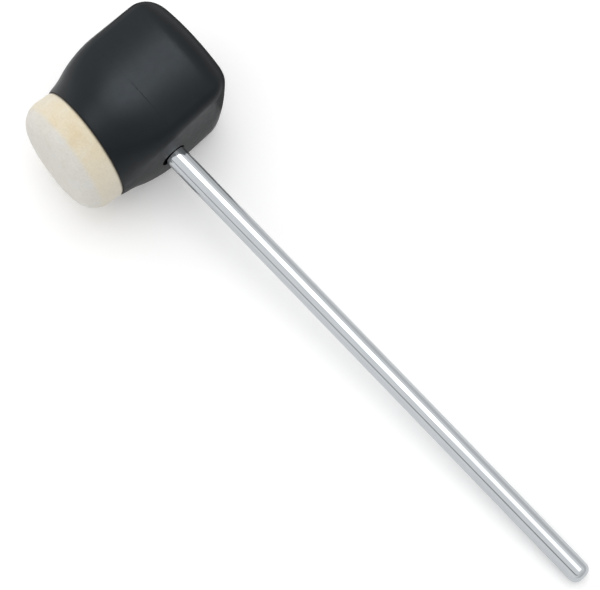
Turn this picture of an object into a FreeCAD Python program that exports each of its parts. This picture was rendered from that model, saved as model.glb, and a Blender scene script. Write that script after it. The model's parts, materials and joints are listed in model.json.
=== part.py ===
"""Bass drum beater, lying on a table: a chromed shaft moulded into a black head with a felt striking pad.

Sizes are in millimetres and degrees. The pieces are made in the beater's own directions, with the shaft's axis
crossing the head's axis at the origin: x runs down the shaft to its tip, y from the felt to the hard back, and
z across both. The finished pieces are then laid down on the table.
"""
import FreeCAD, Part
import math
import os
from FreeCAD import Placement, Rotation, Vector

# Shaft
SHAFT_DIAMETER = 8.0
SHAFT_REACH = 225.9
SHAFT_TIP_FLAT = 2.4
SHAFT_BURIED_PAST_AXIS = 14.0
SHAFT_END_CHAMFER = 0.8

# Anchor of the shaft inside the head: ring grooves stop it pulling out, flats stop it turning
ANCHOR_GROOVES = 3
ANCHOR_GROOVE_WIDTH = 3.0
ANCHOR_GROOVE_PITCH = 7.0
ANCHOR_GROOVE_DEPTH = 0.6
ANCHOR_FLAT_DEPTH = 0.8
ANCHOR_FLAT_LENGTH = 9.0

# Ring left open round the shaft where the mould shuts off on it
ENTRY_RING_GAP = 1.0
ENTRY_RING_DEPTH = 2.0

# Head: a round leaning rim, a wide belly and a rounded square back
# Its sides face along the shaft and its flanks across it, and the beater lies on a flank
RIM_DIAMETER = 43.5
RIM_AHEAD = 20.1
FRONT_LEAN = 5.2
BELLY_WIDTH = 47.6
BELLY_HEIGHT = 50.0
BELLY_AHEAD = 4.8
BELLY_BEND_LENGTH = 14.0
BELLY_FLANK_CROWN_RADIUS = 47.0
BELLY_CORNER_RADIUS = 7.0
BACK_WIDTH = 45.6
BACK_HEIGHT = 47.2
BACK_BEHIND = 31.6
BACK_LEAN = 2.6
BACK_FLANK_CROWN_RADIUS = 61.0
BACK_CORNER_RADIUS = 4.0
SIDE_CROWN_RADIUS = 200.0
BACK_DOME_RADIUS = 105.0
BACK_EDGE_ROUND = 11.0

# Felt pad, its cup in the rim and the glue under it
CUP_WALL = 0.6
CUP_DEPTH = 3.0
FELT_CLEARANCE = 0.15
FELT_PROUD = 13.3
FELT_CROWN = 1.5
FELT_EDGE_ROUND = 8.0
GLUE_THICKNESS = 0.4

# Outlines that the head is built through: ahead of its bend, over it, behind it and round its back edge
FRONT_SECTIONS = 4
BEND_SECTIONS = 4
BACK_SECTIONS = 4
ROUNDING_SECTIONS = 5
# Places over the bend's length that are averaged to round it
BEND_SAMPLES = 9
# Share of the dome's width that is flat in its middle
DOME_FLAT_SHARE = 0.8
# Least share of the blend from round to square: it parts the rim's circle into the same eight arcs
LEAST_BLEND = 0.0001
# Steps that the felt's soft edge is turned in, and the share of its crown that is flat in the middle
FELT_EDGE_STEPS = 5
FELT_FLAT_SHARE = 0.4

shaft_radius = SHAFT_DIAMETER / 2
tip_round = (SHAFT_DIAMETER - SHAFT_TIP_FLAT) / 2
dome_angle = math.asin((BACK_HEIGHT / 2 - BACK_EDGE_ROUND) / (BACK_DOME_RADIUS - BACK_EDGE_ROUND))
edge_start = BACK_BEHIND - BACK_DOME_RADIUS + (BACK_DOME_RADIUS - BACK_EDGE_ROUND) * math.cos(dome_angle)
cup_radius = RIM_DIAMETER / 2 - CUP_WALL
felt_radius = cup_radius - FELT_CLEARANCE


def lerp(start, end, share):
    """Value a given share of the way from start to end."""
    return start + (end - start) * share


def spread(start, end, count):
    """Evenly spaced values from start to end."""
    return [lerp(start, end, number / (count - 1)) for number in range(count)]


def leaning(angle):
    """Turn that leans a face of the head, so that its shaft side stands further to the front."""
    return Rotation(Vector(0, 0, 1), -angle)


def polar(radius, angle):
    """Point in the x-z plane."""
    return Vector(radius * math.cos(angle), 0, radius * math.sin(angle))


def arc(centre, radius, start, end):
    """Arc in the x-z plane between two angles about a centre."""
    points = [centre + polar(radius, angle) for angle in spread(start, end, 3)]
    return Part.Arc(*points).toShape()


def rounded_outline(half_width, half_height, side_crown, flank_crown, corner_radius):
    """Closed outline in the x-z plane: crowned sides and flanks joined by four corner arcs, all tangent."""
    side_back = side_crown - half_width
    flank_back = flank_crown - half_height
    side_reach = side_crown - corner_radius
    flank_reach = flank_crown - corner_radius
    apart = math.hypot(side_back, flank_back)
    toward = (apart ** 2 + flank_reach ** 2 - side_reach ** 2) / (2 * apart)
    aside = math.sqrt(flank_reach ** 2 - toward ** 2)
    corner_x = (flank_back * aside - side_back * toward) / apart
    corner_z = (side_back * aside + flank_back * toward) / apart - flank_back
    side_angle = math.atan2(corner_z, corner_x + side_back)
    flank_angle = math.atan2(corner_x, corner_z + flank_back)
    side = (side_crown, side_back, side_angle, flank_angle)
    flank = (flank_crown, flank_back, flank_angle, side_angle)
    corners = ((corner_x, corner_z), (-corner_x, corner_z), (-corner_x, -corner_z), (corner_x, -corner_z))
    edges = []
    for quarter, (x, z) in enumerate(corners):
        crown, set_back, half_angle, next_half_angle = (side, flank)[quarter % 2]
        turn = quarter * math.pi / 2
        edges.append(arc(polar(-set_back, turn), crown, turn - half_angle, turn + half_angle))
        corner_end = turn + math.pi / 2 - next_half_angle
        edges.append(arc(Vector(x, 0, z), corner_radius, turn + half_angle, corner_end))
    return Part.Wire(edges)


def head_sizes(along):
    """Half width, half height, side crown, flank crown, corner radius and lean at a place along the head."""
    if along < -BELLY_AHEAD:
        share = max((along + RIM_AHEAD) / (RIM_AHEAD - BELLY_AHEAD), LEAST_BLEND)
        half_width = lerp(RIM_DIAMETER, BELLY_WIDTH, share) / 2
        half_height = lerp(RIM_DIAMETER, BELLY_HEIGHT, share) / 2
        side_crown = 1 / lerp(2 / RIM_DIAMETER, 1 / SIDE_CROWN_RADIUS, share)
        flank_crown = 1 / lerp(2 / RIM_DIAMETER, 1 / BELLY_FLANK_CROWN_RADIUS, share)
        corner = lerp(RIM_DIAMETER / 2, BELLY_CORNER_RADIUS, share)
        lean = FRONT_LEAN * (1 - share)
    else:
        share = (along + BELLY_AHEAD) / (BACK_BEHIND + BELLY_AHEAD)
        half_width = lerp(BELLY_WIDTH, BACK_WIDTH, share) / 2
        half_height = lerp(BELLY_HEIGHT, BACK_HEIGHT, share) / 2
        side_crown = SIDE_CROWN_RADIUS
        flank_crown = 1 / lerp(1 / BELLY_FLANK_CROWN_RADIUS, 1 / BACK_FLANK_CROWN_RADIUS, share)
        corner = lerp(BELLY_CORNER_RADIUS, BACK_CORNER_RADIUS, share)
        lean = BACK_LEAN * share
    return half_width, half_height, side_crown, flank_crown, corner, lean


def bent_sizes(along):
    """Sizes of the head averaged over the length of its bend, which rounds the belly."""
    reach = min(BELLY_BEND_LENGTH / 2, along + RIM_AHEAD)
    near = [head_sizes(along + offset) for offset in spread(-reach, reach, BEND_SAMPLES)]
    return [sum(values) / len(near) for values in zip(*near)]


def entry_floor():
    """Distance from the head's axis to the floor of the open ring round the shaft."""
    return bent_sizes(0)[0] - ENTRY_RING_DEPTH


def section(along, sizes, scale=1.0):
    """Outline of the head in its place, scaled about the head's axis."""
    *lengths, lean = sizes
    outline = rounded_outline(*[length * scale for length in lengths])
    outline.Placement = Placement(Vector(0, along, 0), leaning(lean))
    return outline


def head_sections():
    """Outlines from the rim over the belly and the rounded back edge to the flat middle of the dome."""
    bend_start = -BELLY_AHEAD - BELLY_BEND_LENGTH / 2
    bend_end = -BELLY_AHEAD + BELLY_BEND_LENGTH / 2
    stations = spread(-RIM_AHEAD, bend_start, FRONT_SECTIONS)
    stations += spread(bend_start, bend_end, BEND_SECTIONS + 1)[1:]
    stations += spread(bend_end, edge_start, BACK_SECTIONS + 1)[1:]
    outlines = [section(along, bent_sizes(along)) for along in stations]
    edge_sizes = bent_sizes(edge_start)
    edge_half_height = edge_sizes[1]
    for angle in spread(0, math.pi / 2 - dome_angle, ROUNDING_SECTIONS + 1)[1:]:
        scale = 1 - BACK_EDGE_ROUND * (1 - math.cos(angle)) / edge_half_height
        outlines.append(section(edge_start + BACK_EDGE_ROUND * math.sin(angle), edge_sizes, scale))
    flat_at = BACK_BEHIND - BACK_DOME_RADIUS * (1 - math.cos(dome_angle * DOME_FLAT_SHARE))
    outlines.append(section(flat_at, edge_sizes, scale * DOME_FLAT_SHARE))
    return outlines


def front_frame():
    """Place of the front pieces: origin at the middle of the rim, z outwards along the felt's axis."""
    outward = leaning(FRONT_LEAN).multVec(Vector(0, -1, 0))
    return Placement(Vector(0, -RIM_AHEAD, 0), Rotation(Vector(0, 0, 1), outward))


def disc(radius, bottom, top):
    """Round disc on the front's axis, between two heights above the rim."""
    shape = Part.makeCylinder(radius, top - bottom, Vector(0, 0, bottom))
    shape.Placement = front_frame().multiply(shape.Placement)
    return shape


def rod(radius, start, length):
    """Round bar on the shaft's axis."""
    return Part.makeCylinder(radius, length, Vector(start, 0, 0), Vector(1, 0, 0))


def make_shaft():
    """Turned rod with a rounded tip, and grooves and flats at the end that the head is moulded on."""
    inner_end = -SHAFT_BURIED_PAST_AXIS
    shaft = rod(shaft_radius, inner_end, SHAFT_REACH - inner_end)
    tip_edges = [edge for edge in shaft.Edges if edge.BoundBox.XMin > SHAFT_REACH - tip_round]
    shaft = shaft.makeFillet(tip_round, tip_edges)
    end_edges = [edge for edge in shaft.Edges if edge.BoundBox.XMax < inner_end + SHAFT_END_CHAMFER]
    shaft = shaft.makeChamfer(SHAFT_END_CHAMFER, end_edges)
    for number in range(ANCHOR_GROOVES):
        start = entry_floor() - number * ANCHOR_GROOVE_PITCH - ANCHOR_GROOVE_WIDTH
        core = rod(shaft_radius - ANCHOR_GROOVE_DEPTH, start, ANCHOR_GROOVE_WIDTH)
        shaft = shaft.cut(rod(SHAFT_DIAMETER, start, ANCHOR_GROOVE_WIDTH).cut(core))
    flat_at = shaft_radius - ANCHOR_FLAT_DEPTH
    for near_side in (flat_at, -flat_at - SHAFT_DIAMETER):
        waste = Part.makeBox(ANCHOR_FLAT_LENGTH, SHAFT_DIAMETER, SHAFT_DIAMETER)
        waste.translate(Vector(inner_end, near_side, -shaft_radius))
        shaft = shaft.cut(waste)
    return shaft


def make_head(shaft):
    """Moulded head: ruled from outline to outline, hollowed for the felt and closed round the shaft."""
    head = Part.makeLoft(head_sections(), True, True)
    head = head.cut(disc(cup_radius, -CUP_DEPTH, FELT_PROUD))
    head = head.cut(shaft)
    return head.cut(rod(shaft_radius + ENTRY_RING_GAP, entry_floor(), BELLY_WIDTH))


def make_glue():
    """Thin layer of glue on the floor of the cup."""
    return disc(felt_radius, -CUP_DEPTH, GLUE_THICKNESS - CUP_DEPTH)


def make_felt():
    """Felt disc turned from half its section: a flat floor, an upright wall, a soft edge and a crowned face."""
    bottom = GLUE_THICKNESS - CUP_DEPTH
    crown_radius = (felt_radius ** 2 + FELT_CROWN ** 2) / (2 * FELT_CROWN)
    crown_centre = Vector(0, 0, FELT_PROUD + FELT_CROWN - crown_radius)
    round_out = felt_radius - FELT_EDGE_ROUND
    tilt = math.asin(round_out / (crown_radius - FELT_EDGE_ROUND))
    round_centre = crown_centre + polar(crown_radius - FELT_EDGE_ROUND, math.pi / 2 - tilt)
    profile = [Vector(0, 0, bottom), Vector(felt_radius, 0, bottom)]
    for angle in spread(0, math.pi / 2 - tilt, FELT_EDGE_STEPS + 1):
        profile.append(round_centre + polar(FELT_EDGE_ROUND, angle))
    flat_edge = crown_centre + polar(crown_radius, math.pi / 2 - tilt * FELT_FLAT_SHARE)
    profile += [flat_edge, Vector(0, 0, flat_edge.z)]
    half_section = Part.Face(Part.makePolygon(profile + profile[:1]))
    felt = half_section.revolve(Vector(), Vector(0, 0, 1), 360)
    felt.Placement = front_frame().multiply(felt.Placement)
    return felt


def lying_turn():
    """Turn of the beater that lies on the flank of its head and on its tip."""
    flank_length = BELLY_AHEAD + BACK_BEHIND
    flank_fall = math.atan2((BELLY_HEIGHT - BACK_HEIGHT) / 2, flank_length)
    flank_height = lerp(BELLY_HEIGHT, BACK_HEIGHT, BELLY_AHEAD / flank_length) / 2
    across = SHAFT_REACH - tip_round
    rise = shaft_radius - tip_round - flank_height + BELLY_FLANK_CROWN_RADIUS
    drop = BELLY_FLANK_CROWN_RADIUS - tip_round
    slope = math.asin(drop / math.hypot(across, rise)) - math.atan2(rise, across)
    onto_flank = Rotation(Vector(1, 0, 0), -math.degrees(flank_fall))
    onto_tip = Rotation(Vector(0, 1, 0), math.degrees(slope))
    return onto_tip.multiply(onto_flank)


def lay_down(pieces):
    """Lay the pieces on the table, with the middle of their box above the origin."""
    turn = Placement(Vector(), lying_turn())
    for shape in pieces.values():
        shape.Placement = turn.multiply(shape.Placement)
    box = Part.makeCompound(list(pieces.values())).optimalBoundingBox(False, False)
    shift = Placement(Vector(-box.Center.x, -box.Center.y, -box.ZMin), Rotation())
    for shape in pieces.values():
        shape.Placement = shift.multiply(shape.Placement)


def main():
    shaft = make_shaft()
    pieces = {
        "shaft": shaft,
        "head_body": make_head(shaft),
        "felt_adhesive": make_glue(),
        "felt_pad": make_felt(),
    }
    lay_down(pieces)
    os.makedirs("parts", exist_ok=True)
    for name, shape in pieces.items():
        print(name, len(shape.Solids), shape.isValid(), round(shape.Volume, 1))
        shape.exportStep("parts/" + name + ".step")


main()
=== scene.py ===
"""Bass drum beater: the finished shaft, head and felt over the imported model, laid out as an add-on."""
import json
import math

import bmesh
import bpy
from bpy.props import FloatProperty, FloatVectorProperty, IntProperty, PointerProperty
from bpy.types import Operator, Panel, PropertyGroup
from mathutils import Matrix, Vector, noise


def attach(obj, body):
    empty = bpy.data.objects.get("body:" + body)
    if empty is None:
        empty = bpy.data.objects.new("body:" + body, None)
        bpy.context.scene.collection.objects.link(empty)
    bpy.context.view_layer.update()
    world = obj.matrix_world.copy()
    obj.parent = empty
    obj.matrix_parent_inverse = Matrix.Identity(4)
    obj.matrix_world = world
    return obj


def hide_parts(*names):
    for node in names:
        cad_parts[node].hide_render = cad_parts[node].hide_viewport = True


bl_info = {
    "name": "Bass drum beater",
    "version": (1, 0, 0),
    "blender": (4, 5, 0),
    "location": "3D View > Sidebar > Beater",
    "description": "Builds the chromed shaft, the moulded head, the felt and the stage of a bass drum beater",
    "category": "Add Mesh",
}

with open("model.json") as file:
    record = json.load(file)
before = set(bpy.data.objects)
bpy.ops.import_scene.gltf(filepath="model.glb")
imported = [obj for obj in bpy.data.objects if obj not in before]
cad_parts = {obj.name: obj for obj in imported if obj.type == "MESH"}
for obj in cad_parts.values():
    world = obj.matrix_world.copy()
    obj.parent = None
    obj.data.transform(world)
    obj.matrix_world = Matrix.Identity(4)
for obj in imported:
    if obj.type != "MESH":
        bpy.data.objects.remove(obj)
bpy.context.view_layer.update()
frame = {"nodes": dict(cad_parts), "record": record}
clamp_mount = frame["record"]["mounts"][0]

BODY = "root"
IMAGE_WIDTH = 600
SENSOR_WIDTH = 36.0
# Least share of the blend from round to square, which parts the rim's circle into the same eight arcs
LEAST_BLEND = 0.0001
# Places over the belly's bend that are averaged to round it
BEND_SAMPLES = 9
# Steps on each of the eight arcs of the head's outline, and of the parting line
HEAD_STEPS = 18
LINE_STEPS = 36
# Steps round the opening at the shaft, and sides of the parting line's bead
ENTRY_STEPS = 96
BEAD_SIDES = 8
# Rings over the head's skin, its back edge, its dome and each edge of its lip
SKIN_RINGS = 56
EDGE_RINGS = 17
DOME_RINGS = 11
LIP_RINGS = 4
# Lip roundings between the rim and the first ring of the skin
LIP_CLEAR = 3
# Share of the dome, of the felt's face and of a flat floor that is closed by a fan
DOME_FAN = 0.08
FACE_FAN = 0.04
FLOOR_FAN = 0.5
# Steps round the felt, and rings over its seam, its wall, its soft edge and its face
FELT_STEPS = 240
SEAM_RINGS = 10
WALL_RINGS = 14
SOFT_RINGS = 33
FACE_RINGS = 26
# Power with which the painted shade in the seam fades upwards
SEAM_SHADE_FADE = 1.5
# Fineness of the broad and the close lumps in the felt's skin, and the share of the broad ones
BROAD_LUMPS = 150.0
CLOSE_LUMPS = 520.0
BROAD_SHARE = 0.6
# Height over the lip, in heights of a lump, up to which the lumps grow
LUMP_RISE = 4
# Half the floor's width in metres, and the least level that the surroundings show in a gloss
FLOOR_HALF = 3.0
LEAST_SHINE = 0.1
# Cards that show only in a gloss, as painted reflections: name, level and corners in metres
CARDS = (
    # Painted reflection of a grey wall behind the beater
    ("back_reflection_card", 0.72, ((-0.6, 0.12, 0.0), (0.6, 0.12, 0.0), (0.6, 0.5, 0.35), (-0.6, 0.5, 0.35))),
    # Painted reflection of the shade on the floor behind the head
    ("head_shade_reflection", 0.15, ((-0.3, 0.032, 0.001), (-0.06, 0.032, 0.001), (-0.06, 0.12, 0.0), (-0.3, 0.12, 0.0))),
    # Painted reflection of the shade on a strip of floor under the shaft's entry
    ("foot_shade_reflection", 0.33, (
        (-0.079, -0.03, 0.0005), (-0.068, -0.03, 0.0005), (-0.068, 0.05, 0.0005), (-0.079, 0.05, 0.0005))),
    # Painted reflection of a dark strip in front, which draws the dark line along the rod
    ("front_dark_reflection", 0.3, ((-0.3, -0.52, 0.11), (0.3, -0.21, 0.20), (0.3, -0.21, 0.28), (-0.3, -0.52, 0.17))),
)


# Sizes and colours that a user would change

def length(name, description, millimetres):
    """Length property with its default given in millimetres."""
    return FloatProperty(
        name=name, description=description, default=millimetres / 1000, unit="LENGTH", precision=5)


def angle(name, description, degrees):
    """Angle property with its default given in degrees."""
    return FloatProperty(
        name=name, description=description, default=math.radians(degrees), subtype="ANGLE")


def factor(name, description, value):
    """Share property between none and all."""
    return FloatProperty(
        name=name, description=description, default=value, min=0.0, max=1.0, subtype="FACTOR")


def amount(name, description, value, unit="NONE"):
    """Number property that is never negative."""
    return FloatProperty(name=name, description=description, default=value, min=0.0, unit=unit)


def whole(name, description, value, least):
    """Whole number property."""
    return IntProperty(name=name, description=description, default=value, min=least)


def tint(name, description, colour):
    """Colour property."""
    return FloatVectorProperty(
        name=name, description=description, default=colour, min=0.0, max=1.0, subtype="COLOR")


class ShaftSettings(PropertyGroup):
    """Sizes and colour of the chromed shaft."""
    diameter: length("Diameter", "Thickness of the round rod", 8.0)
    reach: length("Reach", "From the head's axis to the free tip", 225.9)
    buried: length("Buried", "How far the rod runs past the head's axis", 14.0)
    tip_flat: length("Tip flat", "Width of the flat left in the middle of the rounded tip", 2.4)
    sides: whole("Sides", "Faces round the rod", 96, 12)
    rounding: whole("Rounding steps", "Rings in the rounded tip", 18, 2)
    chrome: tint("Chrome", "Colour that the plating reflects", (0.565, 0.592, 0.617))


class HeadSettings(PropertyGroup):
    """Sizes and colour of the moulded head."""
    rim_diameter: length("Rim diameter", "Outside of the round front rim", 43.5)
    rim_ahead: length("Rim ahead", "From the shaft's axis forward to the rim", 20.1)
    front_lean: angle("Front lean", "Lean of the rim towards the shaft", 5.2)
    belly_width: length("Belly width", "Width at the belly along the shaft, where its sides would meet", 47.6)
    belly_height: length(
        "Belly height", "Height at the belly across the shaft, where its flanks would meet", 50.0)
    belly_ahead: length("Belly ahead", "From the shaft's axis forward to the belly", 4.8)
    bend_length: length("Bend length", "Stretch over which the belly is rounded", 14.0)
    belly_crown: length("Belly crown radius", "Radius of the crowned flanks at the belly", 47.0)
    belly_corner: length("Belly corner radius", "Radius of the corners at the belly", 7.0)
    back_width: length("Back width", "Width of the hard back along the shaft", 45.6)
    back_height: length("Back height", "Height of the hard back across the shaft", 47.2)
    back_behind: length("Back behind", "From the shaft's axis to the hard back", 31.6)
    back_lean: angle("Back lean", "Lean of the hard back towards the shaft", 2.6)
    back_crown: length("Back crown radius", "Radius of the crowned flanks at the back", 61.0)
    back_corner: length("Back corner radius", "Radius of the corners at the back", 4.0)
    side_crown: length("Side crown radius", "Radius of the flat sides that face along the shaft", 200.0)
    dome_radius: length("Dome radius", "Radius of the domed striking face", 105.0)
    edge_round: length("Edge round", "Rounding of the back edge", 11.0)
    cup_wall: length("Cup wall", "Thickness of the lip round the felt", 0.6)
    cup_depth: length("Cup depth", "Depth of the cup that holds the felt", 3.0)
    lip_round: length("Lip round", "Rounding of the edges of the lip", 0.16)
    entry_gap: length("Entry gap", "Width of the open ring round the shaft where it enters", 1.0)
    entry_aside: length("Entry aside", "How far that ring is wider on the felt's side", 0.5)
    entry_depth: length("Entry depth", "Depth of that ring", 2.0)
    line_width: length("Parting line width", "Width of the bead where the mould halves met", 0.22)
    line_rise: length("Parting line rise", "Height of that bead", 0.025)
    line_behind: length("Parting line behind", "From the shaft's axis back to the parting line", 0.3)
    line_middle: length(
        "Parting line middle", "From the head's axis towards the tip to where the bead is highest", 5.0)
    line_reach: length("Parting line reach", "How far from there the bead shows", 6.0)
    moulding: tint("Moulding", "Colour of the black moulding", (0.0036, 0.0045, 0.0054))


class FeltSettings(PropertyGroup):
    """Sizes and colours of the felt pad and the glue under it."""
    clearance: length("Clearance", "Gap between the felt and the lip", 0.15)
    proud: length("Proud", "Height of the felt's edge over the rim", 13.3)
    crown: length("Crown", "Rise of the felt's face in its middle", 1.5)
    edge_round: length("Edge round", "Rounding of the felt's soft edge", 8.0)
    glue: length("Glue", "Thickness of the glue under the felt", 0.4)
    swell: length("Swell", "How far the felt swells out past the lip", 0.4)
    swell_height: length("Swell height", "Height over the rim in which it does so", 1.1)
    colour_edge: angle("Colour edge", "How far round the soft edge the wall's colour reaches", 22.0)
    colour_blend: angle("Colour blend", "Half the stretch over which the two colours blend", 7.0)
    lumps: length("Lumps", "Height of the uneven felt surface", 0.16)
    fibres: amount("Fibres", "Loose fibres on a square metre", 2.2e6)
    fibre_length: length("Fibre length", "Length of a loose fibre", 0.9)
    fibre_width: length("Fibre width", "Width of a loose fibre", 0.035)
    seed: whole("Seed", "Seed of the fibres", 7, 0)
    wall_colour: tint("Wall colour", "Colour of the felt's side", (0.755, 0.69, 0.55))
    ends_colour: tint("Ends colour", "Colour of the side where it faces along the shaft", (0.77, 0.72, 0.615))
    face_colour: tint("Face colour", "Colour of the felt's striking face", (0.725, 0.71, 0.67))
    # Painted shade: the felt is darkened down in the seam where it tucks under the lip
    seam_shade_colour: tint("Seam colour", "Colour of the felt down in the seam at the lip", (0.07, 0.055, 0.035))
    glue_colour: tint("Glue colour", "Colour of the dried glue", (0.55, 0.45, 0.26))


class StageSettings(PropertyGroup):
    """Camera, floor and light."""
    azimuth: angle("Azimuth", "Direction of the camera round the beater", 45.9195)
    elevation: angle("Elevation", "Height of the camera over the horizon", 72.9497)
    roll: angle("Roll", "Turn of the picture", 0.232)
    distance: length("Distance", "From the beater's middle to the camera", 718.498)
    aside: length("Aside", "Shift of the camera to its right", -8.0506)
    raised: length("Raised", "Shift of the camera upwards in the picture", 11.8507)
    focal_pixels: amount("Focal length", "Focal length in pixels of the picture", 2041.9)
    floor_colour: tint("Floor colour", "Colour of the pale floor", (0.92, 0.92, 0.92))
    floor_lift: factor("Floor lift", "How far the floor shows lighter than it is lit", 0.16)
    fill: amount("Fill", "Soft light from all round", 0.88)
    fill_slant: factor("Fill slant", "How much more of it comes from past the head", 0.3)
    # Painted reflection: in a gloss the surroundings show brighter past the head than they light it
    shine_slant: amount("Shine slant", "How much brighter the gloss shows past the head", 0.35)
    lamp_power: amount("Softbox", "Power of the softbox overhead", 52.0, "POWER")
    # Painted highlight: the cards show the softbox brighter in a gloss than the lamp shines
    lamp_shine: amount("Softbox shine", "How bright the softbox shows in a gloss", 4.2)
    lamp_distance: length("Softbox distance", "From the beater's middle to the softbox", 5000.0)
    lamp_left: angle("Softbox left", "Edge of the softbox over the head, from upright", -25.0)
    lamp_right: angle("Softbox right", "Edge of the softbox over the tip, from upright", 16.0)
    # Painted highlight, weaker in a gloss towards the tip
    lamp_fade: angle("Softbox fade", "From where it shows weaker towards the tip, from upright", 7.0)
    lamp_faded: amount("Softbox faded", "How bright it shows there in a gloss", 1.9)
    lamp_front: angle("Softbox front", "Edge of the softbox on the felt's side, from upright", -5.0)
    lamp_back: angle("Softbox back", "Edge of the softbox on the side of the hard back, from upright", 31.0)


# Small tools

def lerp(start, end, share):
    """Value a given share of the way from start to end."""
    return start + (end - start) * share


def spread(start, end, count):
    """Evenly spaced values from start to end."""
    return [lerp(start, end, number / (count - 1)) for number in range(count)]


def new_object(name, data):
    """Object at the origin that carries a mesh, a camera or a lamp."""
    made = bpy.data.objects.new(name, data)
    bpy.context.scene.collection.objects.link(made)
    return made


def mesh_of_rings(name, rings):
    """Closed mesh over rings of points, each end closed by a fan to the middle of its last ring."""
    work = bmesh.new()
    rows = [[work.verts.new(point) for point in ring] for ring in rings]
    for row, following in zip(rows, rows[1:]):
        for number in range(len(row)):
            after = (number + 1) % len(row)
            work.faces.new((row[number], row[after], following[after], following[number]))
    for row in (rows[0], rows[-1]):
        middle = work.verts.new(sum((vert.co for vert in row), Vector()) / len(row))
        for number in range(len(row)):
            work.faces.new((row[number], row[(number + 1) % len(row)], middle))
    bmesh.ops.recalc_face_normals(work, faces=work.faces)
    mesh = bpy.data.meshes.new(name)
    work.to_mesh(mesh)
    work.free()
    return mesh


def shade(mesh, sharp_angle):
    """Smooth shading that keeps the edges sharper than an angle."""
    mesh.shade_smooth()
    mesh.set_sharp_from_angle(angle=math.radians(sharp_angle))


def baked(piece):
    """Plain mesh of a piece with its modifiers applied, which are then removed."""
    before = piece.data
    depsgraph = bpy.context.evaluated_depsgraph_get()
    mesh = bpy.data.meshes.new_from_object(piece.evaluated_get(depsgraph))
    piece.modifiers.clear()
    piece.data = mesh
    bpy.data.meshes.remove(before)
    mesh.name = piece.name
    return mesh


def grown(piece, tree, values):
    """Mesh that a geometry tree makes of a piece, with the tree's inputs set by name."""
    modifier = piece.modifiers.new("Shape", "NODES")
    modifier.node_group = tree
    for item in tree.interface.items_tree:
        if item.in_out == "INPUT" and item.name in values:
            modifier[item.identifier] = values[item.name]
    return baked(piece)


def settle(piece, material=None):
    """Give a piece its material, and let it ride on the beater."""
    if material:
        piece.data.materials.clear()
        piece.data.materials.append(material)
    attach(piece, BODY)


# Nodes

def feed(tree, node, inputs):
    """Set or link a node's inputs by name or number."""
    for key, value in inputs.items():
        if isinstance(value, bpy.types.NodeSocket):
            tree.links.new(value, node.inputs[key])
        else:
            node.inputs[key].default_value = value


def add(tree, kind, inputs=None, **settings):
    """Node with its settings and its inputs."""
    made = tree.nodes.new(kind)
    for name, value in settings.items():
        setattr(made, name, value)
    feed(tree, made, inputs or {})
    return made


def calc(tree, operation, first, second=0.0, third=0.0):
    """Result of a maths node."""
    return add(tree, "ShaderNodeMath", {0: first, 1: second, 2: third}, operation=operation).outputs[0]


def new_tree(name, kind, inputs, outputs):
    """Empty node tree with named sockets, and its group input and output."""
    tree = bpy.data.node_groups.new(name, kind)
    for label, socket, default in inputs:
        made = tree.interface.new_socket(name=label, in_out="INPUT", socket_type=socket)
        if default is not None:
            made.default_value = default
    for label, socket in outputs:
        tree.interface.new_socket(name=label, in_out="OUTPUT", socket_type=socket)
    return tree, tree.nodes.new("NodeGroupInput").outputs, tree.nodes.new("NodeGroupOutput").inputs


def new_shape(name, inputs):
    """Empty geometry tree with named inputs and a material."""
    inputs = inputs + [("Material", "NodeSocketMaterial", None)]
    return new_tree(name, "GeometryNodeTree", inputs, [("Geometry", "NodeSocketGeometry")])


def ended(tree, geometry, given, result):
    """Geometry tree that ends in plain geometry with its material."""
    plain = add(tree, "GeometryNodeRealizeInstances", {"Geometry": geometry})
    painted = add(tree, "GeometryNodeSetMaterial", {
        "Geometry": plain.outputs[0], "Material": given["Material"]})
    tree.links.new(painted.outputs[0], result["Geometry"])
    return tree


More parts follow.
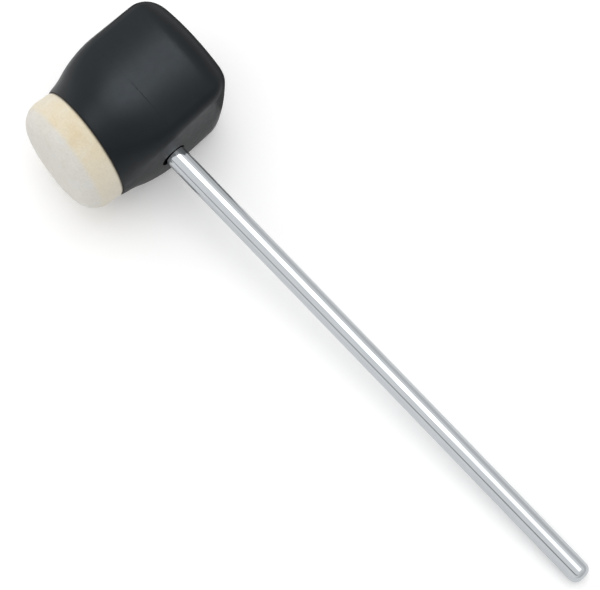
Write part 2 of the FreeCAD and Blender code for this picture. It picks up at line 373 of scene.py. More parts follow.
def rod_tree():
    """Turned rod along x: a flat inner end, a plain wall and a rounded tip."""
    tree, given, result = new_shape("turned rod", [
        ("Radius", "NodeSocketFloat", 0.004),
        ("Start", "NodeSocketFloat", -0.014),
        ("End", "NodeSocketFloat", 0.226),
        ("Tip Round", "NodeSocketFloat", 0.0028),
        ("Rounding Steps", "NodeSocketInt", 18),
        ("Sides", "NodeSocketInt", 96),
    ])
    # Beside the steps: middle and edge of the inner end, start of the rounding and middle of the tip
    rings = calc(tree, "ADD", given["Rounding Steps"], 4.0)
    per_ring = calc(tree, "ADD", given["Sides"], 1.0)
    grid = add(tree, "GeometryNodeMeshGrid", {"Vertices X": rings, "Vertices Y": per_ring})
    index = add(tree, "GeometryNodeInputIndex").outputs[0]
    ring = calc(tree, "FLOOR", calc(tree, "DIVIDE", calc(tree, "ADD", index, 0.5), per_ring))
    around = calc(tree, "SUBTRACT", index, calc(tree, "MULTIPLY", ring, per_ring))
    turn = calc(tree, "MULTIPLY", calc(tree, "DIVIDE", around, given["Sides"]), 2 * math.pi)
    share = calc(tree, "DIVIDE", calc(tree, "SUBTRACT", ring, 2.0), given["Rounding Steps"])
    share = calc(tree, "MINIMUM", calc(tree, "MAXIMUM", share, 0.0), 1.0)
    bend = calc(tree, "MULTIPLY", share, math.pi / 2)
    flat = calc(tree, "SUBTRACT", given["Radius"], given["Tip Round"])
    radius = calc(tree, "MULTIPLY_ADD", calc(tree, "COSINE", bend), given["Tip Round"], flat)
    open_ring = calc(tree, "GREATER_THAN", ring, 0.5)
    open_ring = calc(tree, "MULTIPLY", open_ring,
                     calc(tree, "LESS_THAN", ring, calc(tree, "SUBTRACT", rings, 1.5)))
    radius = calc(tree, "MULTIPLY", radius, open_ring)
    drop = calc(tree, "MULTIPLY", calc(tree, "SUBTRACT", 1.0, calc(tree, "SINE", bend)), given["Tip Round"])
    tip = calc(tree, "SUBTRACT", given["End"], drop)
    outside = calc(tree, "GREATER_THAN", ring, 1.5)
    along = calc(tree, "MULTIPLY_ADD", outside, calc(tree, "SUBTRACT", tip, given["Start"]), given["Start"])
    place = add(tree, "ShaderNodeCombineXYZ", {
        "X": along,
        "Y": calc(tree, "MULTIPLY", radius, calc(tree, "COSINE", turn)),
        "Z": calc(tree, "MULTIPLY", radius, calc(tree, "SINE", turn)),
    })
    moved = add(tree, "GeometryNodeSetPosition", {
        "Geometry": grid.outputs["Mesh"], "Position": place.outputs[0]})
    closed = add(tree, "GeometryNodeMergeByDistance", {"Geometry": moved.outputs[0], "Distance": 1e-6})
    return ended(tree, closed.outputs[0], given, result)


def bead_tree():
    """Fine bead swept along an open line of edges."""
    tree, given, result = new_shape("parting bead", [
        ("Line", "NodeSocketGeometry", None),
        ("Radius", "NodeSocketFloat", 0.00015),
        ("Sides", "NodeSocketInt", 8),
    ])
    line = add(tree, "GeometryNodeMeshToCurve", {"Mesh": given["Line"]})
    ring = add(tree, "GeometryNodeCurvePrimitiveCircle", {
        "Resolution": given["Sides"], "Radius": given["Radius"]})
    bead = add(tree, "GeometryNodeCurveToMesh", {
        "Curve": line.outputs[0], "Profile Curve": ring.outputs[0], "Fill Caps": True})
    smooth = add(tree, "GeometryNodeSetShadeSmooth", {"Geometry": bead.outputs[0]})
    return ended(tree, smooth.outputs[0], given, result)


def fibre_tree():
    """Loose fibres lying on the open skin of the felt."""
    tree, given, result = new_shape("loose fibres", [
        ("Felt", "NodeSocketGeometry", None),
        ("Density", "NodeSocketFloat", 1e6),
        ("Length", "NodeSocketFloat", 0.0009),
        ("Width", "NodeSocketFloat", 0.00003),
        ("Seed", "NodeSocketInt", 7),
    ])
    skin = add(tree, "GeometryNodeInputNamedAttribute", {"Name": "open_skin"}, data_type="FLOAT").outputs[0]
    points = add(tree, "GeometryNodeDistributePointsOnFaces", {
        "Mesh": given["Felt"],
        "Density": calc(tree, "MULTIPLY", given["Density"], skin),
        "Seed": given["Seed"],
    })
    strip = add(tree, "GeometryNodeMeshGrid", {
        "Size X": given["Length"], "Size Y": given["Width"], "Vertices X": 4, "Vertices Y": 2})
    spot = add(tree, "GeometryNodeInputPosition").outputs[0]
    parts = add(tree, "ShaderNodeSeparateXYZ", {0: spot})
    share = calc(tree, "DIVIDE", parts.outputs["X"], given["Length"])
    arch_height, arch_bend, sway_turn, sway_width = 0.06, 0.5, 4.0, 0.12
    fall = calc(tree, "MULTIPLY", calc(tree, "MULTIPLY", share, share), arch_bend)
    arch = calc(tree, "SUBTRACT", arch_height, fall)
    sway = calc(tree, "MULTIPLY", calc(tree, "SINE", calc(tree, "MULTIPLY", share, sway_turn)), sway_width)
    bent = add(tree, "ShaderNodeCombineXYZ", {
        "X": parts.outputs["X"],
        "Y": calc(tree, "MULTIPLY_ADD", sway, given["Length"], parts.outputs["Y"]),
        "Z": calc(tree, "MULTIPLY", arch, given["Length"]),
    })
    curled = add(tree, "GeometryNodeSetPosition", {
        "Geometry": strip.outputs["Mesh"], "Position": bent.outputs[0]})
    drawn = []
    for number, (low, high) in enumerate(((0.0, 2 * math.pi), (-0.5, 0.5), (0.5, 1.3))):
        seed = calc(tree, "ADD", given["Seed"], number + 1.0)
        value = add(tree, "FunctionNodeRandomValue", {"Min": low, "Max": high, "Seed": seed})
        drawn.append(value.outputs["Value"])
    spin, tilt, size = drawn
    turned = add(tree, "FunctionNodeRotateRotation", {
        "Rotation": points.outputs["Rotation"],
        "Rotate By": add(tree, "FunctionNodeEulerToRotation", {
            0: add(tree, "ShaderNodeCombineXYZ", {"Y": tilt, "Z": spin}).outputs[0]}).outputs[0],
    }, rotation_space="LOCAL")
    laid = add(tree, "GeometryNodeInstanceOnPoints", {
        "Points": points.outputs["Points"], "Instance": curled.outputs[0],
        "Rotation": turned.outputs[0], "Scale": size})
    smooth = add(tree, "GeometryNodeSetShadeSmooth", {"Geometry": laid.outputs[0]})
    return ended(tree, smooth.outputs[0], given, result)


def patches_group():
    """Uneven patches: a value between two limits that wanders over the surface."""
    tree, given, result = new_tree("uneven patches", "ShaderNodeTree", [
        ("Place", "NodeSocketVector", None),
        ("Scale", "NodeSocketFloat", 100.0),
        ("Detail", "NodeSocketFloat", 3.0),
        ("Low", "NodeSocketFloat", 0.0),
        ("High", "NodeSocketFloat", 1.0),
    ], [("Value", "NodeSocketFloat")])
    cloud = add(tree, "ShaderNodeTexNoise", {
        "Vector": given["Place"], "Scale": given["Scale"], "Detail": given["Detail"], "Roughness": 0.55})
    value = add(tree, "ShaderNodeMapRange", {
        "Value": cloud.outputs["Fac"], "From Min": 0.3, "From Max": 0.7,
        "To Min": given["Low"], "To Max": given["High"]})
    tree.links.new(value.outputs[0], result["Value"])
    return tree


def grain_group():
    """Fine grain of a surface as a height."""
    tree, given, result = new_tree("fine grain", "ShaderNodeTree", [
        ("Place", "NodeSocketVector", None),
        ("Scale", "NodeSocketFloat", 2000.0),
        ("Coarse", "NodeSocketFloat", 0.3),
    ], [("Height", "NodeSocketFloat")])
    fine = add(tree, "ShaderNodeTexNoise", {"Vector": given["Place"], "Scale": given["Scale"], "Detail": 2.0})
    wide = add(tree, "ShaderNodeTexNoise", {
        "Vector": given["Place"], "Scale": calc(tree, "MULTIPLY", given["Scale"], 0.22), "Detail": 2.0})
    height = calc(tree, "MULTIPLY_ADD", wide.outputs["Fac"], given["Coarse"], fine.outputs["Fac"])
    tree.links.new(height, result["Height"])
    return tree


def group_of(maker, name):
    """Shader group, made once."""
    return bpy.data.node_groups.get(name) or maker()


def cleared(owner):
    """Emptied node tree of a material or a world."""
    owner.use_nodes = True
    owner.node_tree.nodes.clear()
    return owner.node_tree


def put_out(tree, shader, kind="ShaderNodeOutputMaterial"):
    """Link a shader node to the output of its material or world."""
    tree.links.new(shader.outputs[0], tree.nodes.new(kind).inputs["Surface"])


def new_material(name):
    """Empty material with its tree, its surface shader and the object's coordinates."""
    material = bpy.data.materials.new(name)
    tree = cleared(material)
    surface = tree.nodes.new("ShaderNodeBsdfPrincipled")
    put_out(tree, surface)
    return material, tree, surface, tree.nodes.new("ShaderNodeTexCoord").outputs["Object"]


def patches(tree, place, scale, low=0.0, high=1.0, detail=3.0):
    """Uneven patches in a material."""
    made = add(tree, "ShaderNodeGroup", {
        "Place": place, "Scale": scale, "Detail": detail, "Low": low, "High": high,
    }, node_tree=group_of(patches_group, "uneven patches"))
    return made.outputs["Value"]


def grain(tree, place, scale, coarse, strength, depth):
    """Normal roughened by fine grain in a material."""
    made = add(tree, "ShaderNodeGroup", {"Place": place, "Scale": scale, "Coarse": coarse},
               node_tree=group_of(grain_group, "fine grain"))
    bump = add(tree, "ShaderNodeBump", {
        "Height": made.outputs["Height"], "Strength": strength, "Distance": depth})
    return bump.outputs["Normal"]


def blend(tree, share, first, second, kind="MIX"):
    """Mix of two colours, each given as a socket or as red, green and blue."""
    inputs = {0: share}
    for socket, value in ((6, first), (7, second)):
        inputs[socket] = value if isinstance(value, bpy.types.NodeSocket) else (*value, 1.0)
    return add(tree, "ShaderNodeMix", inputs, data_type="RGBA", blend_type=kind).outputs[2]


def scaled(colour, times):
    """Colour made lighter or darker."""
    return tuple(min(1.0, part * times) for part in colour)


def yellowed(colour, green, blue):
    """Colour with its green and blue brought down."""
    return (colour[0], colour[1] * green, colour[2] * blue)


def chrome_material(colour):
    """Polished chrome plate with faint polishing marks along the rod."""
    material, tree, surface, place = new_material("polished chrome")
    drawn = add(tree, "ShaderNodeMapping", {"Vector": place, "Scale": (0.03, 1.0, 1.0)}).outputs[0]
    feed(tree, surface, {
        "Base Color": blend(tree, patches(tree, place, 60.0), scaled(colour, 0.97), scaled(colour, 1.03)),
        "Roughness": patches(tree, drawn, 900.0, low=0.035, high=0.075),
        "Normal": grain(tree, drawn, 2600.0, coarse=0.4, strength=0.012, depth=0.0001),
        "Metallic": 1.0,
    })
    return material


def moulding_material(colour):
    """Matt black moulding with a soft sheen and a fine skin."""
    material, tree, surface, place = new_material("matt black moulding")
    feed(tree, surface, {
        "Base Color": blend(tree, patches(tree, place, 140.0), scaled(colour, 0.9), scaled(colour, 1.15)),
        "Roughness": patches(tree, place, 420.0, low=0.31, high=0.37),
        "Normal": grain(tree, place, 3200.0, coarse=0.6, strength=0.08, depth=0.0002),
        "Specular IOR Level": 0.28,
        # Specular Tint gives the sheen a painted bluish cast
        "Specular Tint": (0.82, 0.92, 1.0, 1.0),
    })
    return material


def shaded_line_material(colour):
    """Moulding of the parting line: rougher and duller, and darkened with painted shade along its crease."""
    material, tree, surface, place = new_material("parting line moulding")
    feed(tree, surface, {
        "Base Color": blend(tree, patches(tree, place, 300.0), scaled(colour, 0.4), scaled(colour, 0.6)),
        "Roughness": patches(tree, place, 500.0, low=0.6, high=0.75),
        "Specular IOR Level": 0.1,
    })
    return material


def felt_material(felt):
    """Pressed wool felt: mottled, yellower on its cut side, greyer on its striking face, with painted shade
    in its seam.
    """
    material, tree, surface, place = new_material("pressed wool felt")
    wall, middle, seam = [
        add(tree, "ShaderNodeAttribute", attribute_name=name).outputs["Fac"]
        for name in ("wall_share", "middle_share", "seam_shade_share")]
    stain = patches(tree, place, 170.0, detail=4.0)
    side = blend(tree, stain, scaled(felt.wall_colour, 1.06), yellowed(felt.wall_colour, 0.93, 0.80))
    side = blend(tree, middle, felt.ends_colour, side)
    face = blend(tree, stain, scaled(felt.face_colour, 1.03), yellowed(felt.face_colour, 0.98, 0.95))
    # Painted shade darkens the felt down in the seam under the lip
    base = blend(tree, seam, blend(tree, wall, face, side), felt.seam_shade_colour)
    specks = blend(tree, patches(tree, place, 1400.0), (0.93, 0.93, 0.92), (1.0, 1.0, 1.0))
    feed(tree, surface, {
        "Base Color": blend(tree, 1.0, base, specks, "MULTIPLY"),
        "Roughness": patches(tree, place, 500.0, low=0.86, high=0.98),
        "Normal": grain(tree, place, 1500.0, coarse=0.8, strength=0.35, depth=0.0006),
        "Specular IOR Level": 0.15,
        "Sheen Weight": 0.12,
        "Sheen Roughness": 0.6,
    })
    return material


def glue_material(colour):
    """Dried contact glue, uneven in colour and shine."""
    material, tree, surface, place = new_material("dried glue")
    feed(tree, surface, {
        "Base Color": blend(tree, patches(tree, place, 260.0), scaled(colour, 0.75), scaled(colour, 1.15)),
        "Roughness": patches(tree, place, 400.0, low=0.35, high=0.7),
        "Normal": grain(tree, place, 900.0, coarse=0.8, strength=0.3, depth=0.0003),
    })
    return material


# Shapes

def lying_matrix(shaft, head):
    """Place of the beater's own directions in the row: x down the shaft, y from the felt to the back."""
    down_shaft = Vector(clamp_mount["axis"])
    tip_round = (shaft.diameter - shaft.tip_flat) / 2
    wall_middle = (shaft.reach - tip_round + entry_floor(head)) / 2
    origin = Vector(clamp_mount["pos_m"]) - down_shaft * wall_middle
    flank = math.atan2((head.belly_height - head.back_height) / 2, head.belly_ahead + head.back_behind)
    onto_tip = Matrix.Rotation(math.asin(-down_shaft.z), 4, "Y")
    onto_flank = Matrix.Rotation(-flank, 4, "X")
    return Matrix.Translation(origin) @ onto_tip @ onto_flank


def arc_points(centre_x, centre_z, radius, start, end, steps):
    """Points on an arc, without its last one."""
    turns = spread(start, end, steps + 1)[:-1]
    return [(centre_x + radius * math.cos(turn), centre_z + radius * math.sin(turn)) for turn in turns]


def rounded_outline(half_width, half_height, side_crown, flank_crown, corner, steps):
    """Outline of crowned sides and flanks with round corners as (x, z), in equal steps on its eight arcs."""
    side_back, flank_back = side_crown - half_width, flank_crown - half_height
    side_reach, flank_reach = side_crown - corner, flank_crown - corner
    apart = math.hypot(side_back, flank_back)
    toward = (apart ** 2 + flank_reach ** 2 - side_reach ** 2) / (2 * apart)
    aside = math.sqrt(flank_reach ** 2 - toward ** 2)
    corner_x = (flank_back * aside - side_back * toward) / apart
    corner_z = (side_back * aside + flank_back * toward) / apart - flank_back
    side_half = math.atan2(corner_z, corner_x + side_back)
    flank_half = math.atan2(corner_x, corner_z + flank_back)
    sides = ((side_crown, side_back, side_half, flank_half), (flank_crown, flank_back, flank_half, side_half))
    points = []
    for quarter, (sign_x, sign_z) in enumerate(((1, 1), (-1, 1), (-1, -1), (1, -1))):
        crown, set_back, half, next_half = sides[quarter % 2]
        turn = quarter * math.pi / 2
        points += arc_points(-set_back * math.cos(turn), -set_back * math.sin(turn), crown,
                             turn - half, turn + half, steps)
        points += arc_points(sign_x * corner_x, sign_z * corner_z, corner, turn + half,
                             turn + math.pi / 2 - next_half, steps)
    return points


def head_sizes(head, along):
    """Half width and height, side and flank crown, corner radius and lean at a place along the head."""
    rim, rim_curve = head.rim_diameter, 2 / head.rim_diameter
    front = (rim, rim, rim_curve, rim_curve, rim / 2, head.front_lean)
    belly = (head.belly_width, head.belly_height, 1 / head.side_crown, 1 / head.belly_crown,
             head.belly_corner, 0.0)
    back = (head.back_width, head.back_height, 1 / head.side_crown, 1 / head.back_crown,
            head.back_corner, head.back_lean)
    if along < -head.belly_ahead:
        share = max((along + head.rim_ahead) / (head.rim_ahead - head.belly_ahead), LEAST_BLEND)
        ends = front, belly
    else:
        share = (along + head.belly_ahead) / (head.back_behind + head.belly_ahead)
        ends = belly, back
    width, height, side_curve, flank_curve, corner, lean = [lerp(*pair, share) for pair in zip(*ends)]
    return width / 2, height / 2, 1 / side_curve, 1 / flank_curve, corner, lean


def soft_sizes(head, along):
    """Sizes of the head averaged over the bend at its belly, which rounds it."""
    reach = min(head.bend_length / 2, along + head.rim_ahead)
    near = [head_sizes(head, along + offset) for offset in spread(-reach, reach, BEND_SAMPLES)]
    return [sum(values) / len(near) for values in zip(*near)]


def entry_floor(head):
    """Distance from the head's axis to the floor of the open ring round the shaft."""
    return soft_sizes(head, 0.0)[0] - head.entry_depth


def shrunk(outline, scale):
    """Outline scaled about the axis."""
    return [(x * scale, z * scale) for x, z in outline]


def leaning_ring(outline, along, lean, deep=0.0):
    """Ring of points at a distance along the head's axis, leaning towards the shaft."""
    across, forward = math.cos(lean), math.sin(lean)
    return [Vector((x * across + deep * forward, along - x * forward + deep * across, z)) for x, z in outline]


def cup_rings(head):
    """Rings from the floor of the cup up its wall and over the lip."""
    rim = rounded_outline(*head_sizes(head, -head.rim_ahead)[:5], HEAD_STEPS)
    outside = head.rim_diameter / 2
    inside = outside - head.cup_wall
    turn = head.lip_round
    profile = [(inside * FLOOR_FAN, head.cup_depth), (inside, head.cup_depth), (inside, turn)]
    for bend in spread(0, math.pi / 2, LIP_RINGS)[1:]:
        profile.append((inside + turn * (1 - math.cos(bend)), turn * (1 - math.sin(bend))))
    for bend in spread(math.pi / 2, 0, LIP_RINGS):
        profile.append((outside - turn * (1 - math.cos(bend)), turn * (1 - math.sin(bend))))
    rings = []
    for radius, deep in profile:
        rings.append(leaning_ring(shrunk(rim, radius / outside), -head.rim_ahead, head.front_lean, deep))
    return rings


def skin_rings(head):
    """Rings over the outside of the head, from behind the lip to the top of the dome."""
    dome, edge = head.dome_radius, head.edge_round
    dome_angle = math.asin((head.back_height / 2 - edge) / (dome - edge))
    edge_start = head.back_behind - dome + (dome - edge) * math.cos(dome_angle)
    rings = []
    for along in spread(-head.rim_ahead + LIP_CLEAR * head.lip_round, edge_start, SKIN_RINGS):
        *lengths, lean = soft_sizes(head, along)
        rings.append(leaning_ring(rounded_outline(*lengths, HEAD_STEPS), along, lean))
    *lengths, lean = soft_sizes(head, edge_start)
    outline = rounded_outline(*lengths, HEAD_STEPS)
    half_height = lengths[1]
    for bend in spread(0, math.pi / 2 - dome_angle, EDGE_RINGS)[1:]:
        scale = 1 - edge * (1 - math.cos(bend)) / half_height
        rings.append(leaning_ring(shrunk(outline, scale), edge_start + edge * math.sin(bend), lean))
    for share in spread(1, DOME_FAN, DOME_RINGS)[1:]:
        top = head.back_behind - dome * (1 - math.cos(dome_angle * share))
        rings.append(leaning_ring(shrunk(outline, scale * share), top, lean))
    return rings


def entry_rings(head, shaft):
    """Two ends of the open ring round the shaft, its floor and a place clear of the head."""
    radius = shaft.diameter / 2 + head.entry_gap
    outline = arc_points(-head.entry_aside, 0.0, radius, 0.0, 2 * math.pi, ENTRY_STEPS)
    floor = entry_floor(head)
    return [[Vector((along, y, z)) for y, z in outline] for along in (floor, floor + head.belly_width)]


def head_mesh(head, shaft):
    """Head with its cup, and the hollow cut round the shaft."""
    rings = cup_rings(head) + skin_rings(head)
    piece = new_object("moulded_head", mesh_of_rings("moulded_head", rings))
    cutter_mesh = mesh_of_rings("entry cutter", entry_rings(head, shaft))
    cutter = new_object("entry_cutter", cutter_mesh)
    cut = piece.modifiers.new("Entry", "BOOLEAN")
    cut.operation = "DIFFERENCE"
    cut.solver = "EXACT"
    cut.object = cutter
    baked(piece)
    bpy.data.objects.remove(cutter)
    bpy.data.meshes.remove(cutter_mesh)
    return piece


def parting_line(head, shaft):
    """Open line of edges round the head where the mould halves met, clear of the shaft's entry."""
    *lengths, lean = soft_sizes(head, head.line_behind)
    radius = head.line_width / 2
    rings = []
    for sunk in (radius, radius - head.line_rise):
        outline = rounded_outline(*[size - sunk for size in lengths], LINE_STEPS)
        rings.append(leaning_ring(outline, head.line_behind, lean))
    ring = []
    for low, high in zip(*rings):
        away = (low.x - head.line_middle) / head.line_reach
        ring.append(low.lerp(high, max(1 - away ** 2, 0.0)))
    clear = shaft.diameter / 2 + head.entry_gap + head.line_width
    shut = [number for number, point in enumerate(ring) if point.x > 0 and abs(point.z) < clear]
    start = next(number for number in shut if (number + 1) % len(ring) not in shut)
    points = []
    for step in range(1, len(ring)):
        number = (start + step) % len(ring)
        if number in shut:
            break
        points.append(ring[number])
    mesh = bpy.data.meshes.new("parting_line")
    mesh.from_pydata(points, [(number, number + 1) for number in range(len(points) - 1)], [])
    return new_object("parting_line", mesh)


def felt_profile(felt, radius, bottom):
    """Half section of the felt as (radius, height over the rim, share of the wall, share of the seam's
    painted shade).
    """
    wide = radius + felt.swell
    top = felt.proud + felt.crown
    crown = (wide ** 2 + felt.crown ** 2) / (2 * felt.crown)
    round_out = wide - felt.edge_round
    tilt = math.asin(round_out / (crown - felt.edge_round))
    round_height = top - crown + (crown - felt.edge_round) * math.cos(tilt)
    profile = [(radius * FLOOR_FAN, bottom, 1.0, 1.0), (radius, bottom, 1.0, 1.0)]
    # Up the swell the seam's painted shade fades out
    for share in spread(0, 1, SEAM_RINGS):
        out = lerp(radius, wide, math.sin(share * math.pi / 2))
        profile.append((out, felt.swell_height * share, 1.0, (1 - share) ** SEAM_SHADE_FADE))
    for height in spread(felt.swell_height, round_height, WALL_RINGS)[1:]:
        profile.append((wide, height, 1.0, 0.0))
    for bend in spread(0, math.pi / 2 - tilt, SOFT_RINGS)[1:]:
        share = (felt.colour_edge + felt.colour_blend - bend) / (2 * felt.colour_blend)
        share = min(max(share, 0.0), 1.0)
        profile.append((round_out + felt.edge_round * math.cos(bend),
                        round_height + felt.edge_round * math.sin(bend), share, 0.0))
    for share in spread(1, FACE_FAN, FACE_RINGS)[1:]:
        profile.append((crown * math.sin(tilt * share), top - crown * (1 - math.cos(tilt * share)), 0.0, 0.0))
    return profile


def felt_piece(felt, head):
    """Felt disc with a soft, slightly uneven skin, marked where it is wall, where its seam takes painted
    shade and where open.
    """
    radius = head.rim_diameter / 2 - head.cup_wall - felt.clearance
    profile = felt_profile(felt, radius, felt.glue - head.cup_depth)
    turns = spread(0, 2 * math.pi, FELT_STEPS + 1)[:-1]
    rings = []
    for out, height, _, _ in profile:
        outline = [(out * math.cos(turn), out * math.sin(turn)) for turn in turns]
        rings.append(leaning_ring(outline, -head.rim_ahead, head.front_lean, -height))
    mesh = mesh_of_rings("felt_disc", rings)
    # Each value at every point of its ring, and then in the middles of the two fans
    _, heights, walls, seam_shades = [[value for value in column for _ in turns] for column in zip(*profile)]
    heights += [-head.cup_depth, felt.proud]
    walls += [1.0, 0.0]
    seam_shades += [1.0, 0.0]
    middles = [math.sin(turn) ** 2 for _ in profile for turn in turns] + [1.0, 1.0]
    moves = []
    for vertex, height in zip(mesh.vertices, heights):
        lifted = min(max((height - felt.clearance) / (LUMP_RISE * felt.lumps), 0.0), 1.0)
        broad = noise.noise(vertex.co * BROAD_LUMPS)
        close = noise.noise(vertex.co * CLOSE_LUMPS)
        lump = BROAD_SHARE * broad + (1 - BROAD_SHARE) * close
        moves.append(vertex.normal * felt.lumps * lifted * lump)
    for vertex, move in zip(mesh.vertices, moves):
        vertex.co += move
    skin = [1.0 if height > felt.fibre_length / 2 else 0.0 for height in heights]
    for name, values in (("wall_share", walls), ("seam_shade_share", seam_shades),
                         ("middle_share", middles), ("open_skin", skin)):
        mesh.attributes.new(name, "FLOAT", "POINT").data.foreach_set("value", values)
    return new_object("felt_disc", mesh)


# Stage

def camera_axes(stage):
    """Right, up and back directions of the camera."""
    flat = math.cos(stage.elevation)
    east, north = math.cos(stage.azimuth), math.sin(stage.azimuth)
    back = Vector((north * flat, -east * flat, math.sin(stage.elevation)))
    right = Vector((east, north, 0))
    up = back.cross(right)
    turn = Matrix.Rotation(stage.roll, 3, back)
    return turn @ right, turn @ up, back


def make_camera(stage):
    """Camera where the picture was taken from."""
    right, up, back = camera_axes(stage)
    data = bpy.data.cameras.new("picture camera")
    data.sensor_width = SENSOR_WIDTH
    data.lens = stage.focal_pixels * SENSOR_WIDTH / IMAGE_WIDTH
    data.clip_start = 0.01
    camera = new_object("picture_camera", data)
    eye = back * stage.distance + right * stage.aside + up * stage.raised
    camera.matrix_world = Matrix.Translation(eye) @ Matrix((right, up, back)).transposed().to_4x4()
    bpy.context.scene.camera = camera


def seen_directly(tree):
    """One for rays that show the background itself: from the camera, off a gloss or through glass."""
    path = tree.nodes.new("ShaderNodeLightPath")
    direct = calc(tree, "MAXIMUM", path.outputs["Is Camera Ray"], path.outputs["Is Glossy Ray"])
    return calc(tree, "MAXIMUM", direct, path.outputs["Is Transmission Ray"])


def make_world(stage):
    """Soft light from all round, stronger from past the head, that shows as white, and in a gloss as a
    painted reflection that is brighter past the head.
    """
    world = bpy.data.worlds.new("studio")
    bpy.context.scene.world = world
    tree = cleared(world)
    toward = tree.nodes.new("ShaderNodeTexCoord").outputs["Generated"]
    parts = add(tree, "ShaderNodeSeparateXYZ", {0: toward}).outputs
    fill = calc(tree, "MULTIPLY_ADD", parts["X"], -stage.fill * stage.fill_slant, stage.fill)
    # Painted reflection: in a gloss the surroundings show brighter past the head than they light it
    aside = calc(tree, "MULTIPLY", parts["X"], calc(tree, "ABSOLUTE", parts["X"]))
    path = tree.nodes.new("ShaderNodeLightPath")
    slant = calc(tree, "MULTIPLY", path.outputs["Is Glossy Ray"], -stage.shine_slant)
    shine = calc(tree, "MAXIMUM", calc(tree, "MULTIPLY_ADD", aside, slant, 1.0), LEAST_SHINE)
    level = add(tree, "ShaderNodeMapRange", {"Value": seen_directly(tree), "To Min": fill, "To Max": shine})
    light = add(tree, "ShaderNodeBackground", {"Color": (1, 1, 1, 1), "Strength": level.outputs[0]})
    put_out(tree, light, "ShaderNodeOutputWorld")


def new_sheet(name, corners, material_name):
    """Sheet between four corners, and the emptied tree of its material."""
    mesh = bpy.data.meshes.new(name)
    mesh.from_pydata(corners, [], [(0, 1, 2, 3)])
    mesh.materials.append(bpy.data.materials.new(material_name))
    return new_object(name, mesh), cleared(mesh.materials[0])


def make_floor(stage):
    """Pale floor that shows nearly white and keeps the shadow."""
    half = FLOOR_HALF
    corners = [(-half, -half, 0), (half, -half, 0), (half, half, 0), (-half, half, 0)]
    floor, tree = new_sheet("floor", corners, "pale floor")
    paint = add(tree, "ShaderNodeBsdfDiffuse", {"Color": (*stage.floor_colour, 1.0)})
    path = tree.nodes.new("ShaderNodeLightPath")
    lift = calc(tree, "MULTIPLY", path.outputs["Is Camera Ray"], stage.floor_lift)
    glow = add(tree, "ShaderNodeEmission", {"Strength": lift})
    put_out(tree, add(tree, "ShaderNodeAddShader", {0: paint.outputs[0], 1: glow.outputs[0]}))


def make_softbox(stage):
    """Softbox overhead that spans given angles from upright, and the cards that paint its highlight in a
    gloss.
    """
    width = 2 * stage.lamp_distance * math.tan((stage.lamp_right - stage.lamp_left) / 2)
    depth = 2 * stage.lamp_distance * math.tan((stage.lamp_back - stage.lamp_front) / 2)
    slope_x = math.tan((stage.lamp_left + stage.lamp_right) / 2)
    slope_y = math.tan((stage.lamp_front + stage.lamp_back) / 2)
    toward = Vector((slope_x, slope_y, 1.0)).normalized()
    data = bpy.data.lights.new("softbox", "AREA")
    data.shape = "RECTANGLE"
    data.size = width
    data.size_y = depth
    data.energy = stage.lamp_power
    lamp = new_object("softbox", data)
    lamp.location = toward * stage.lamp_distance
    lamp.rotation_euler = toward.to_track_quat("Z", "Y").to_euler()
    # The lamp stays out of the gloss; the cards below paint its highlight, brighter than it shines and weaker
    # towards the tip
    lamp.visible_glossy = False
    left, fade, right, front, back = [stage.lamp_distance * math.tan(edge) for edge in (
        stage.lamp_left, stage.lamp_fade, stage.lamp_right, stage.lamp_front, stage.lamp_back)]
    for name, start, end, level in (("softbox_painted_shine", left, fade, stage.lamp_shine),
                                    ("softbox_painted_fade", fade, right, stage.lamp_faded)):
        places = ((start, front), (end, front), (end, back), (start, back))
        make_card(name, [(x, y, stage.lamp_distance) for x, y in places], level)


def make_card(name, corners, level):
    """Evenly bright card that shows only in the beater's gloss, as a painted reflection."""
    card, tree = new_sheet(name, corners, name)
    put_out(tree, add(tree, "ShaderNodeEmission", {"Strength": level}))
    card.visible_camera = card.visible_diffuse = card.visible_transmission = card.visible_shadow = False


# Operators

class BEATER_OT_shaft(Operator):
    """Make the chromed shaft"""
    bl_idname = "beater.shaft"
    bl_label = "Shaft"

    def execute(self, context):
        scene = context.scene
        shaft = scene.beater_shaft
        piece = new_object("chromed_shaft", bpy.data.meshes.new("chromed_shaft"))
        mesh = grown(piece, rod_tree(), {
            "Radius": shaft.diameter / 2,
            "Start": -shaft.buried,
            "End": shaft.reach,
            "Tip Round": (shaft.diameter - shaft.tip_flat) / 2,
            "Rounding Steps": shaft.rounding,
            "Sides": shaft.sides,
            "Material": chrome_material(shaft.chrome),
        })
        work = bmesh.new()
        work.from_mesh(mesh)
        bmesh.ops.recalc_face_normals(work, faces=work.faces)
        work.to_mesh(mesh)
        work.free()
        mesh.transform(lying_matrix(shaft, scene.beater_head))
        shade(mesh, sharp_angle=35)
        settle(piece)
        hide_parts("shaft")
        return {"FINISHED"}


class BEATER_OT_head(Operator):
    """Make the moulded head and its parting line"""
    bl_idname = "beater.head"
    bl_label = "Head"

    def execute(self, context):
        scene = context.scene
        head, shaft = scene.beater_head, scene.beater_shaft
        lying = lying_matrix(shaft, head)
        piece = head_mesh(head, shaft)
        piece.data.transform(lying)
        shade(piece.data, sharp_angle=32)
        settle(piece, moulding_material(head.moulding))
        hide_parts("head_body")
        line = parting_line(head, shaft)
        grown(line, bead_tree(), {
            "Radius": head.line_width / 2, "Sides": BEAD_SIDES, "Material": shaded_line_material(head.moulding)})
        line.data.transform(lying)
        settle(line)
        return {"FINISHED"}


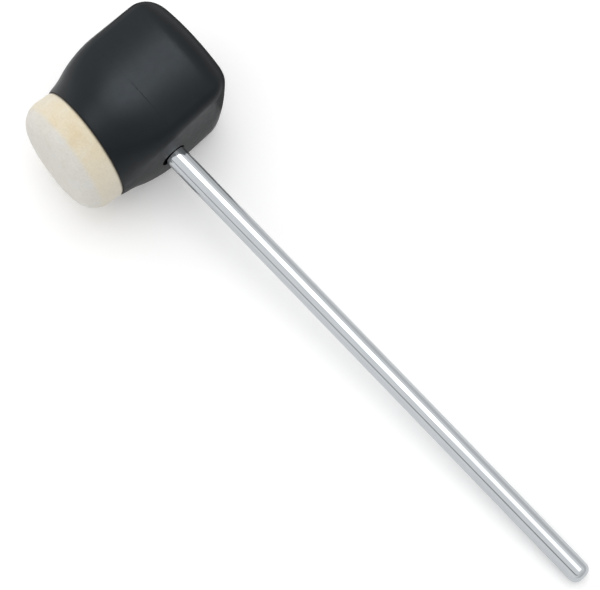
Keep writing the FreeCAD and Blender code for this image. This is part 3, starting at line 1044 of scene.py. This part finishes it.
class BEATER_OT_felt(Operator):
    """Make the felt disc and its loose fibres, and finish the glue under it"""
    bl_idname = "beater.felt"
    bl_label = "Felt"

    def execute(self, context):
        scene = context.scene
        felt, head = scene.beater_felt, scene.beater_head
        lying = lying_matrix(scene.beater_shaft, head)
        cloth = felt_material(felt)
        disc = felt_piece(felt, head)
        disc.data.transform(lying)
        disc.data.shade_smooth()
        fibres = new_object("felt_fibres", disc.data.copy())
        grown(fibres, fibre_tree(), {
            "Density": felt.fibres, "Length": felt.fibre_length, "Width": felt.fibre_width,
            "Seed": felt.seed, "Material": cloth})
        settle(disc, cloth)
        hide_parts("felt_pad")
        settle(fibres)
        glue = frame["nodes"]["felt_adhesive"]
        glue.data.materials.clear()
        glue.data.materials.append(glue_material(felt.glue_colour))
        return {"FINISHED"}


class BEATER_OT_stage(Operator):
    """Make the camera, the floor and the light"""
    bl_idname = "beater.stage"
    bl_label = "Stage"

    def execute(self, context):
        stage = context.scene.beater_stage
        context.scene.view_settings.view_transform = "Standard"
        make_camera(stage)
        make_world(stage)
        make_floor(stage)
        make_softbox(stage)
        for name, level, corners in CARDS:
            make_card(name, corners, level)
        return {"FINISHED"}


class VIEW3D_PT_beater(Panel):
    """Sizes and colours of the beater, and the buttons that make its pieces"""
    bl_idname = "VIEW3D_PT_beater"
    bl_label = "Bass drum beater"
    bl_space_type = "VIEW_3D"
    bl_region_type = "UI"
    bl_category = "Beater"

    def draw(self, context):
        for operator, settings in ((BEATER_OT_shaft, context.scene.beater_shaft),
                                   (BEATER_OT_head, context.scene.beater_head),
                                   (BEATER_OT_felt, context.scene.beater_felt),
                                   (BEATER_OT_stage, context.scene.beater_stage)):
            box = self.layout.box()
            box.operator(operator.bl_idname)
            for name in settings.__annotations__:
                box.prop(settings, name)


SETTINGS = {
    "beater_shaft": ShaftSettings,
    "beater_head": HeadSettings,
    "beater_felt": FeltSettings,
    "beater_stage": StageSettings,
}
CLASSES = (BEATER_OT_shaft, BEATER_OT_head, BEATER_OT_felt, BEATER_OT_stage, VIEW3D_PT_beater)


def register():
    """Register the settings, the operators and the panel."""
    for name, group in SETTINGS.items():
        bpy.utils.register_class(group)
        setattr(bpy.types.Scene, name, PointerProperty(type=group))
    for kind in CLASSES:
        bpy.utils.register_class(kind)


def unregister():
    """Take them out again."""
    for kind in reversed(CLASSES):
        bpy.utils.unregister_class(kind)
    for name, group in SETTINGS.items():
        delattr(bpy.types.Scene, name)
        bpy.utils.unregister_class(group)


def main():
    """Register the add-on, and make every piece and the stage."""
    register()
    bpy.ops.beater.shaft()
    bpy.ops.beater.head()
    bpy.ops.beater.felt()
    bpy.ops.beater.stage()


if __name__ == "__main__":
    main()
